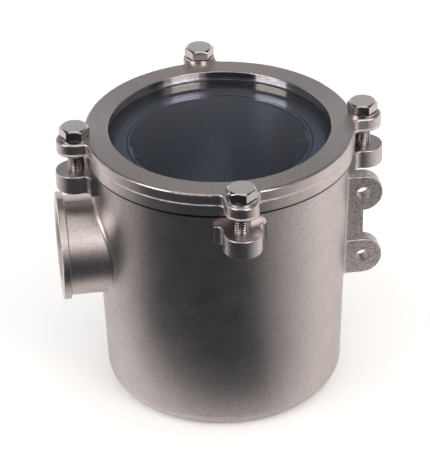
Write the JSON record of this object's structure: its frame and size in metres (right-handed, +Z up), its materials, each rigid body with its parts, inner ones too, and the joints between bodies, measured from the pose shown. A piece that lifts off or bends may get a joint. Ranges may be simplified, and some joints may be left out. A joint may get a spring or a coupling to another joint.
{
  "type": "sea water strainer",
  "caption": "Cast sea water strainer with a bolted cover ring, round sight window, lift-out perforated basket, threaded ports and side mounting lugs.",
  "frame": {"origin": "middle of the flat base, on its underside", "axes": "+Z up along the body axis, the inlet port points to -X, the outlet port to +Y and the mounting flange to +X"},
  "size_m": [0.2022, 0.2019, 0.181],
  "materials": {
    "cast_nickel": "nickel-plated sand-cast bronze, fine grain",
    "turned_nickel": "nickel-plated turned and polished bronze",
    "window_glass": "clear, polished",
    "seal_rubber": "black rubber",
    "bolt_steel": "bright stainless steel",
    "basket_steel": "perforated stainless sheet, satin"
  },
  "bodies": {
    "housing": {"body_casting": "cast_nickel", "body_seal": "seal_rubber", "basket_rim": "basket_steel", "basket_shell": "basket_steel", "basket_base": "basket_steel", "basket_hoop": "basket_steel", "bail_ear_right": "basket_steel", "bail_ear_left": "basket_steel"},
    "cover": {"cover_ring": "turned_nickel", "window": "window_glass", "window_gasket": "seal_rubber"},
    "bail": {"basket_bail": "basket_steel"},
    "bolt_front": {"bolt_front": "bolt_steel", "washer_front": "bolt_steel"},
    "bolt_right": {"bolt_right": "bolt_steel", "washer_right": "bolt_steel"},
    "bolt_back": {"bolt_back": "bolt_steel", "washer_back": "bolt_steel"},
    "bolt_left": {"bolt_left": "bolt_steel", "washer_left": "bolt_steel"}
  },
  "joints": [
    {"name": "cover_lift", "type": "slide", "parent": "housing", "child": "cover", "axis": [0, 0, 1], "range_m": [0, 0.18]},
    {"name": "bail_swing", "type": "hinge", "parent": "housing", "child": "bail", "pos_m": [0, 0, 0.1502], "axis": [-1, 0, 0], "range_deg": [0, 180]},
    {"name": "bolt_front_withdraw", "type": "slide", "parent": "cover", "child": "bolt_front", "axis": [0, 0, 1], "range_m": [0, 0.036]},
    {"name": "bolt_right_withdraw", "type": "slide", "parent": "cover", "child": "bolt_right", "axis": [0, 0, 1], "range_m": [0, 0.036]},
    {"name": "bolt_back_withdraw", "type": "slide", "parent": "cover", "child": "bolt_back", "axis": [0, 0, 1], "range_m": [0, 0.036]},
    {"name": "bolt_left_withdraw", "type": "slide", "parent": "cover", "child": "bolt_left", "axis": [0, 0, 1], "range_m": [0, 0.036]}
  ],
  "couplings": [
    {"joint": "bail_swing", "follows": "cover_lift", "rad_per_m": 17.453}
  ]
}
